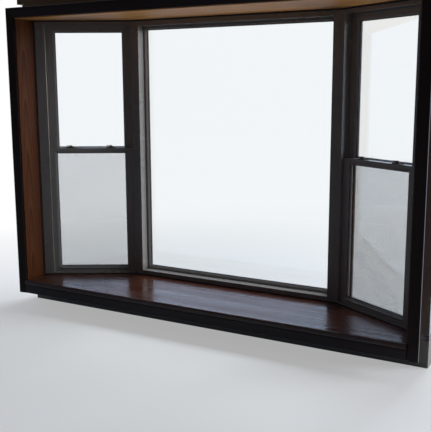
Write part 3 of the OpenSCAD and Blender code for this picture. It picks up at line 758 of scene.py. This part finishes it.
# The lever, narrowed, raked and rounded towards its tip
def addLever(bm, place, top):
    hub, tip, tipFrom = lock["hubRadius"], lock["tipRadius"], -lock["tipFrom"]
    start = (-lock["lever"], -hub, top + lock["leverGap"])
    verts = addBox(bm, Matrix(), start, (0, hub, lock["height"] - lock["seam"]))
    for vert in verts:
        if vert.co.x < tipFrom:
            vert.co.y = vert.co.y / hub * tip - lock["rake"]
            vert.co.z -= lock["tipDrop"] if vert.co.z > top + lock["leverThickness"] / 2 else 0
    ends = [e for e in edgesOf(verts) if all(v.co.x < tipFrom for v in e.verts)
            and abs(e.verts[0].co.z - e.verts[1].co.z) > 0.001]
    bmesh.ops.transform(bm, matrix=place, verts=verts)
    roundEdges(bm, ends, tip * 0.95, 4)


# The keeper, with the pocket that takes the cam
def addKeeper(bm, place):
    long, wide, high = lock["keeper"]
    verts = addBox(bm, place, (-long / 2, 0, 0), (long / 2, wide, high))
    inverse = place.inverted()
    faces = {face for vert in verts for face in vert.link_faces}
    front = min(faces, key=lambda face: (inverse @ face.calc_center_median()).y)
    bmesh.ops.inset_individual(bm, faces=[front], thickness=lock["keeperRim"], depth=0)
    pocket = bmesh.ops.extrude_discrete_faces(bm, faces=[front])["faces"][0]
    inward = (place.to_3x3() @ Vector((0, 1, 0))).normalized()
    bmesh.ops.translate(bm, verts=pocket.verts, vec=inward * wide * 0.5)
    outer = [e for e in edgesOf(verts) if e.is_valid and e.is_convex and e.calc_face_angle(0) > 1]
    roundEdges(bm, outer, lock["keeperEdge"])


def addLock(bm, screws, place, keeperPlace):
    thick = lock["plate"][2]
    top = lock["height"] - lock["leverThickness"]
    addPlate(bm, place)
    addCover(bm, place, thick, top)
    addCam(bm, place, thick, top)
    addLever(bm, place, top)
    for x in (-lock["screwAt"], lock["screwAt"]):
        addScrew(screws, place @ Matrix.Translation((x, 0, thick)))
    addKeeper(bm, keeperPlace)


for side, place in sides.items():
    lowerLow, lowerHigh = boxIn(place, side + "_lower_sash")
    lowerLow.y += fingerLift["reach"]
    upperLow = boxIn(place, side + "_upper_sash")[0]
    middle = (lowerLow.x + lowerHigh.x) / 2
    leversLeft = flip if side == "right" else Matrix()
    bm, screws = bmesh.new(), bmesh.new()
    for way in (-1, 1):
        x = middle + way * lock["spacing"] / 2
        railMiddle = Matrix.Translation((x, (lowerLow.y + lowerHigh.y) / 2, lowerHigh.z))
        keeperAt = Matrix.Translation((x, upperLow.y + bay["fit"], lowerHigh.z))
        addLock(bm, screws, place @ railMiddle @ leversLeft, place @ keeperAt)
    finishPiece(bm, side + "_cam_locks", lockMetal, side + "_sash_locks", sharp=40)
    finishPiece(screws, side + "_lock_screws", screwSteel, sharp=40)
print("locks made")

# Half screens: mitred bars, pull tabs, spline cord and woven threads
screen = {
    "bar": 0.020, "barEdge": 0.0006, "grooveFrom": 0.0085, "groove": 0.0045, "grooveDepth": 0.0035,
    "spline": 0.0021, "splineSunk": 0.0001, "pitch": 0.0016, "thread": 0.0003, "weave": 0.00011,
    "tabs": (0.16, 0.84), "tab": (0.011, 0.0022, 0.001), "tabHeights": (0.004, 0.013), "tabEdge": 0.0008,
}


def screenSection(thickness):
    def section(width):
        start = width - screen["grooveFrom"]
        end = start + screen["groove"]
        depth = screen["grooveDepth"]
        return [
            (0, 0), (0, start), (depth, start), (depth, end), (0, end), (0, width),
            (thickness, width), (thickness, 0),
        ]
    return section


# A closed tube through points, with mitred corners
def addTube(bm, points, radius):
    loops = []
    for index, point in enumerate(points):
        before, after = points[index - 1], points[(index + 1) % len(points)]
        heading = ((point - before).normalized() + (after - point).normalized()).normalized()
        turn = heading.to_track_quat("Z", "Y").to_matrix().to_4x4()
        place = Matrix.Translation(point) @ turn
        made = bmesh.ops.create_circle(bm, cap_ends=False, segments=8, radius=radius, matrix=place)
        loops.append(edgesOf(made["verts"]))
    for index, loop in enumerate(loops):
        bmesh.ops.bridge_loops(bm, edges=loop + loops[(index + 1) % len(loops)])


# Threads along X in one layer and along Z in the layer behind
def addThreads(bm, place, low, high, depth):
    half = screen["thread"] / 2
    for axis in (0, 2):
        cross = 2 - axis
        count = int((high[cross] - low[cross]) / screen["pitch"])
        layer = depth + screen["weave"] * (1 if axis else -1)
        for index in range(count):
            at = low[cross] + (index + 0.5) * (high[cross] - low[cross]) / count
            start, end = [0, layer - half, 0], [0, layer + half, 0]
            start[axis], end[axis] = low[axis], high[axis]
            start[cross], end[cross] = at - half, at + half
            addBox(bm, place, start, end)


def addTab(bm, place, low, x):
    half, proud, sunk = screen["tab"]
    bottom, top = screen["tabHeights"]
    start, end = (x - half, low.y - proud, low.z + bottom), (x + half, low.y + sunk, low.z + top)
    roundBox(bm, place, start, end, screen["tabEdge"])


for side, place in sides.items():
    low, high = boxIn(place, side + "_screen_frame")
    bm = bmesh.new()
    addRing(bm, place, (low.x, low.z), (high.x, high.z), low.y, screenSection(high.y - low.y),
            (screen["bar"],) * 4, screen["barEdge"])
    for share in screen["tabs"]:
        addTab(bm, place, low, low.x + (high.x - low.x) * share)
    bars = finishPiece(bm, side + "_screen_bars", screenPaint, side + "_screen_frame")
    bm = bmesh.new()
    inset = screen["bar"] - screen["grooveFrom"] + screen["groove"] / 2
    depth = low.y + screen["grooveDepth"] - screen["spline"] - screen["splineSunk"]
    left, right, bottom, top = low.x + inset, high.x - inset, low.z + inset, high.z - inset
    corners = [(left, bottom), (right, bottom), (right, top), (left, top)]
    addTube(bm, [place @ Vector((x, depth, z)) for x, z in corners], screen["spline"])
    finishPiece(bm, side + "_screen_spline", gasketRubber, weighted=False, sharp=60)
    cloth = side + "_screen_cloth"
    low, high = boxIn(place, cloth)
    bm = bmesh.new()
    addThreads(bm, place, low, high, (low.y + high.y) / 2)
    threads = finishPiece(bm, side + "_screen_threads", threadGrey, cloth, weighted=False)
print("screens made")

# Boards outside, each in paint that is brushed along its side
outside = {"edge": 0.002}
for side, paint in trimPaints.items():
    softCopy(side + "_skirt", paint, outside["edge"], 3)


# A board on each side from the box of its node, mitred at the corners
def runSides(node, endX, near, far, name):
    low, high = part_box(node)[0].z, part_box(node)[1].z
    profile = [(near, low), (far, low), (far, high), (near, high)]
    for index, (side, paint) in enumerate(trimPaints.items()):
        bm = bmesh.new()
        verts = sweepRound(bm, endX, profile, (index, index + 1))
        roundEdges(bm, creases(edgesOf(verts)), outside["edge"], 3)
        finishPiece(bm, side + "_" + name, paint, node)


def offsetOf(node):
    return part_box(node)[1].y - cornerY


eaveX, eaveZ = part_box("fascia")[1].x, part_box("fascia")[1].z
fasciaDepth = offsetOf("fascia")
runSides("frieze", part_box("frieze")[1].x, frameDepth, offsetOf("frieze"), "frieze_board")
runSides("fascia", eaveX, offsetOf("soffit"), fasciaDepth, "fascia_board")
print("outside boards dressed")

# Roof: courses of shingle tabs on each slope, cut at the hips and the wall
roof = {
    "exposure": 0.127, "overlap": 0.045, "thickness": 0.0042, "tabs": (0.11, 0.21), "slit": 0.002,
    "covering": 0.014, "reach": 0.012, "pitch": 28, "capThickness": 0.0036, "capHalf": 0.062,
    "capLift": 0.0038, "capLap": 1.35, "centreEnds": (-0.86, 0.86), "sideEnds": (-0.78, 0.18),
    "starter": 0.06, "felt": 0.004, "feltSpare": 0.05, "gap": 0.001, "uneven": 0.0015, "curl": 0.0004,
    "lapped": 0.62, "firstTab": 0.1, "eaveClear": 0.0002,
}
coveringDepth = fasciaDepth + roof["reach"]
pitch = radians(roof["pitch"])


def deckHeight(out):
    return eaveZ + (fasciaDepth - out) * tan(pitch)


# Each slope's own frame: X along its eave, Y up the slope, Z away from the deck
def slopePlace(sidePlace):
    start = Matrix.Translation((0, coveringDepth, deckHeight(coveringDepth)))
    return sidePlace @ start @ Matrix.Rotation(pi, 4, "Z") @ Matrix.Rotation(pitch, 4, "X")


def cutAway(bm, point, normal):
    geom = bm.verts[:] + bm.edges[:] + bm.faces[:]
    made = bmesh.ops.bisect_plane(
        bm, geom=geom, dist=1e-6, plane_co=point, plane_no=normal, clear_outer=True,
    )
    edges = [item for item in made["geom_cut"] if isinstance(item, bmesh.types.BMEdge)]
    bmesh.ops.edgeloop_fill(bm, edges=edges)


slopeLength = (cornerY + coveringDepth - jambDepth) / cos(pitch)
courses = ceil(slopeLength / roof["exposure"])
cornerPlan = aroundBay(eaveX, coveringDepth)[1]
innerPlan = aroundBay(eaveX, jambDepth - cornerY)[1]
hipWay = (innerPlan - cornerPlan).normalized()
hipLeft = Vector((hipWay.y, -hipWay.x, 0))
flipVector = Vector((-1, 1, 1))


def setShade(bm, verts, tone):
    shade = bm.faces.layers.float.get("shade") or bm.faces.layers.float.new("shade")
    for face in {face for vert in verts for face in vert.link_faces}:
        face[shade] = tone


# Tabs are made in courses from the eave up, each course lapping the one below
def addSlope(side, place, ends, cuts):
    bm = bmesh.new()
    layer, thick = roof["covering"] * cos(pitch), roof["thickness"]
    gap, curl = roof["gap"], roof["curl"]
    starter = addBox(bm, Matrix(), (ends[0], 0, gap), (ends[1], roof["starter"], layer - thick))
    upperEnd = slopeLength + roof["feltSpare"]
    felt = addBox(bm, Matrix(), (ends[0], gap, gap), (ends[1], upperEnd, roof["felt"]))
    setShade(bm, starter + felt, 0.15)
    tall = roof["exposure"] + roof["overlap"]
    for course in range(courses):
        y = course * roof["exposure"]
        x = ends[0] - random.uniform(0, roof["firstTab"])
        while x < ends[1]:
            wide = random.uniform(*roof["tabs"])
            butt = y + random.uniform(-roof["uneven"], roof["uneven"]) * (course > 0)
            verts = addBox(bm, Matrix(), (x, butt, 0), (x + wide - roof["slit"], y + tall, thick))
            setShade(bm, verts, random.uniform(0.05, 1))
            for vert in verts:
                raised = 1 - (vert.co.y - y) / tall * roof["lapped"]
                vert.co.z += (layer - thick - curl) * raised - random.uniform(0, curl)
            x += wide
    bmesh.ops.transform(bm, matrix=place, verts=bm.verts)
    for point, normal in cuts:
        cutAway(bm, point, normal)
    node = side + "_roof_slope"
    finishPiece(bm, side + "_shingles", shingles, node, weighted=False)


eaveOut = coveringDepth - roof["eaveClear"]
outward = Vector((0, 1, 0))
wallCut = (Vector((0, jambDepth + bay["fit"], 0)), -outward)
hipPoint = Vector((*cornerPlan, 0))
centreEave = (Vector((0, cornerY + eaveOut, 0)), outward)
centreCuts = [wallCut, centreEave, (hipPoint, hipLeft), (hipPoint * flipVector, hipLeft * flipVector)]
addSlope("centre", slopePlace(centrePlace), roof["centreEnds"], centreCuts)
sideEave = (leftPlace @ Vector((0, eaveOut, 0)), leftPlace.to_3x3() @ outward)
sideEnd = (Vector((-(eaveX + roof["reach"]) + roof["eaveClear"], 0, 0)), Vector((-1, 0, 0)))
sideCuts = [wallCut, sideEave, sideEnd, (hipPoint, -hipLeft)]
addSlope("left", slopePlace(leftPlace), roof["sideEnds"], sideCuts)
flippedCuts = [(point * flipVector, normal * flipVector) for point, normal in sideCuts]
addSlope("right", flip @ slopePlace(leftPlace), roof["sideEnds"], flippedCuts)


# Height of the covering's top over a plan point, on the left side's plane or the centre's
def coveringTop(point, onLeft):
    out = (leftPlace.inverted() @ Vector((point.x, point.y, 0))).y if onLeft else point.y - cornerY
    return deckHeight(out) + roof["covering"]


# Cap shingles bent over a hip, from the eave up
def addHipCaps(bm):
    length = (innerPlan - cornerPlan).length
    rise = (coveringTop(innerPlan, False) - coveringTop(cornerPlan, False)) / length
    step = roof["exposure"] / hypot(1, rise)
    for index in range(ceil(length / step)):
        start, stop = index * step, min(index * step + step * roof["capLap"], length)
        made = bmesh.ops.create_grid(bm, x_segments=2, y_segments=1, size=1)["verts"]
        for vert in made:
            along, across = (start if vert.co.y < 0 else stop), vert.co.x
            plan = Vector((*(cornerPlan + hipWay * along), 0)) + hipLeft * across * roof["capHalf"]
            raised = bay["fit"] + (roof["capLift"] if vert.co.y < 0 else 0)
            vert.co = (plan.x, plan.y, coveringTop(plan, across > 0) + raised)
        top = extruded(bm, list(dict.fromkeys(face for vert in made for face in vert.link_faces)))
        bmesh.ops.translate(bm, verts=top, vec=(0, 0, roof["capThickness"]))
        setShade(bm, made + top, random.uniform(0.1, 0.9))
    for cut in (wallCut, centreEave, sideEave):
        cutAway(bm, *cut)


bm = bmesh.new()
addHipCaps(bm)
bmesh.ops.mirror(bm, geom=bm.verts[:] + bm.edges[:] + bm.faces[:], axis="X", merge_dist=-1)
finishPiece(bm, "hip_cap_shingles", shingles, "hip_caps", weighted=False)

# Metal drip edge under the first course: a flange up the deck, a kick, and a leg down the fascia
drip = {
    "back": 0.035, "kick": 0.009, "lip": 0.009, "drop": 0.032, "thick": 0.0009, "off": 0.0004,
    "legTop": 0.003, "hem": 0.001, "past": 0.004,
}
slopeDrop = tan(pitch)
flangeOut, kickOut = fasciaDepth - drip["back"], fasciaDepth + drip["kick"]
flangeZ, tipZ, legZ = eaveZ + drip["back"] * slopeDrop, eaveZ - drip["kick"] * slopeDrop, eaveZ - drip["drop"]
legIn, lipZ, thick = fasciaDepth + drip["off"], tipZ - drip["lip"], drip["thick"]
bm = bmesh.new()
sweepRound(bm, eaveX + drip["past"], [
    (flangeOut, flangeZ), (kickOut, tipZ), (kickOut, lipZ),
    (legIn + thick, lipZ - drip["legTop"] - drip["hem"]), (legIn + thick, legZ), (legIn, legZ),
    (legIn, lipZ - drip["legTop"]), (kickOut - thick, lipZ + drip["hem"]),
    (kickOut - thick, tipZ - thick), (flangeOut, flangeZ - thick),
])
finishPiece(bm, "eave_drip_edge", flashMetal)
print("roof covered")

# Floor, world, lamps and camera; the outdoor side is the bright one
stage = {
    "floor": (0.72, 0.71, 0.70, 1), "dullFloor": (0.16, 0.15, 0.145, 1), "size": 14.0, "threshold": 0.5,
    "fadeFrom": 1.6, "fadeTo": 4.2, "pale": 0.4, "sky": (0.62, 0.75, 1.0, 1), "horizon": 0.4,
    "outdoors": 0.45, "room": 0.036, "roomGloss": 0.06,
}
# Power, size, place, what each lamp looks at, and colour
lamps = {
    "daylight": (590, (4.0, 3.4), (8.0, 3.9, 2.8), (-0.3, 0.4, 0.9), (0.87, 0.93, 1.0)),
    "skyLight": (640, (4.0, 3.0), (0.3, 5.6, 7.2), (0, 0.5, 0.6), (0.84, 0.92, 1.0)),
    "groundLight": (240, (6.0, 1.0), (1.2, 6.2, 0.05), (0, 0.2, 1.5), (1.0, 0.97, 0.9)),
    "lawnLight": (28, (2.4, 1.2), (1.1, 2.1, -0.12), (0.9, 1.6, 2.0), (1.0, 0.97, 0.88)),
    "roomLight": (3.6, (3.0, 2.5), (-2.6, -3.8, 3.0), (0, 0.2, 0.8), (1.0, 0.92, 0.84)),
}


def outdoorShare(tree, vector, reach):
    out = addNode(tree, "SeparateXYZ", {"Vector": vector}).outputs["Y"]
    return toRange(tree, out, -reach, reach, 0, 1)


# How strongly a ray sees the white surroundings, and their colour: a reflection sees a cool sky, a dim room
def seenBy(tree, outdoors):
    rays = addNode(tree, "LightPath").outputs
    direct = addMath(tree, "ADD", rays["Is Camera Ray"], rays["Is Transmission Ray"])
    dim = toRange(tree, outdoors, 0, 1, stage["roomGloss"], 1)
    glossy = product(tree, rays["Is Glossy Ray"], dim)
    strength = addMath(tree, "ADD", direct, glossy, clamp=True)
    unreflected = addMath(tree, "LESS_THAN", rays["Glossy Depth"], 0.5)
    white = addMath(tree, "MULTIPLY", direct, unreflected, clamp=True)
    return strength, addMix(tree, white, stage["sky"], (1, 1, 1, 1))


# Pale paper that fades into the white background, is dull to reflections in the room and clear from below
def floorMaterial():
    material, tree, shader = newMaterial("floorPaper")
    points = objectPoints(tree)
    flat = scaled(tree, points, 1, 1, 0)
    distance = addNode(tree, "VectorMath", {0: flat}, operation="LENGTH").outputs["Value"]
    fade = toRange(tree, distance, stage["fadeFrom"], stage["fadeTo"], stage["pale"], 1)
    outdoors = outdoorShare(tree, points, stage["threshold"])
    strength, colour = seenBy(tree, outdoors)
    rays = addNode(tree, "LightPath").outputs
    indirect = addMath(tree, "ADD", rays["Is Diffuse Ray"], rays["Is Glossy Ray"], clamp=True)
    dull = addMath(tree, "SUBTRACT", indirect, outdoors, clamp=True)
    base = addMix(tree, dull, stage["floor"], stage["dullFloor"])
    setInputs(tree, shader, {"Base Color": base, "Roughness": 0.7})
    white = addNode(tree, "Emission", {"Color": colour, "Strength": 1.0})
    share = product(tree, fade, strength)
    blend = addNode(tree, "MixShader", {0: share, 1: shader.outputs[0], 2: white.outputs[0]})
    clear = addNode(tree, "BsdfTransparent")
    beneath = addNode(tree, "NewGeometry").outputs["Backfacing"]
    whole = addNode(tree, "MixShader", {0: beneath, 1: blend.outputs[0], 2: clear.outputs[0]})
    tree.links.new(whole.outputs[0], tree.nodes["Material Output"].inputs["Surface"])
    return material


bm = bmesh.new()
bmesh.ops.create_grid(bm, x_segments=1, y_segments=1, size=stage["size"])
bmesh.ops.translate(bm, verts=bm.verts, vec=(0, 0, baseBox[0].z))
floorMesh = bpy.data.meshes.new("floor")
bm.to_mesh(floorMesh)
bm.free()
floorMesh.materials.append(floorMaterial())
floor = addObject("floor", floorMesh)

world = bpy.data.worlds.new("studio")
bpy.context.scene.world = world
world.use_nodes = True
tree = world.node_tree
background = tree.nodes["Background"]
outdoors = outdoorShare(tree, addNode(tree, "TexCoord").outputs["Generated"], stage["horizon"])
strength, colour = seenBy(tree, outdoors)
ambient = toRange(tree, outdoors, 0, 1, stage["room"], stage["outdoors"])
setInputs(tree, background, {"Color": colour, "Strength": addMath(tree, "MAXIMUM", strength, ambient)})

for name, (power, size, at, target, tint) in lamps.items():
    data = bpy.data.lights.new(name, "AREA")
    data.energy = power
    data.color = tint
    data.shape = "RECTANGLE"
    data.size, data.size_y = size
    light = addObject(name, data)
    light.location = at
    light.rotation_euler = (Vector(target) - Vector(at)).to_track_quat("-Z", "Y").to_euler()
    light.visible_camera = light.visible_glossy = light.visible_transmission = False

view = {"location": (2.268, -3.690, 1.338), "tilt": 79.88, "turn": 29.48, "roll": -0.21, "lens": 60.9}
cameraData = bpy.data.cameras.new("camera")
cameraData.lens = view["lens"]
camera = addObject("camera", cameraData)
camera.location = view["location"]
aim = Matrix.Rotation(radians(view["turn"]), 3, "Z") @ Matrix.Rotation(radians(view["tilt"]), 3, "X")
camera.rotation_euler = (aim @ Matrix.Rotation(radians(view["roll"]), 3, "Z")).to_euler()
bpy.context.scene.camera = camera
bpy.context.scene.view_settings.view_transform = "Standard"
print("lamps and camera set")
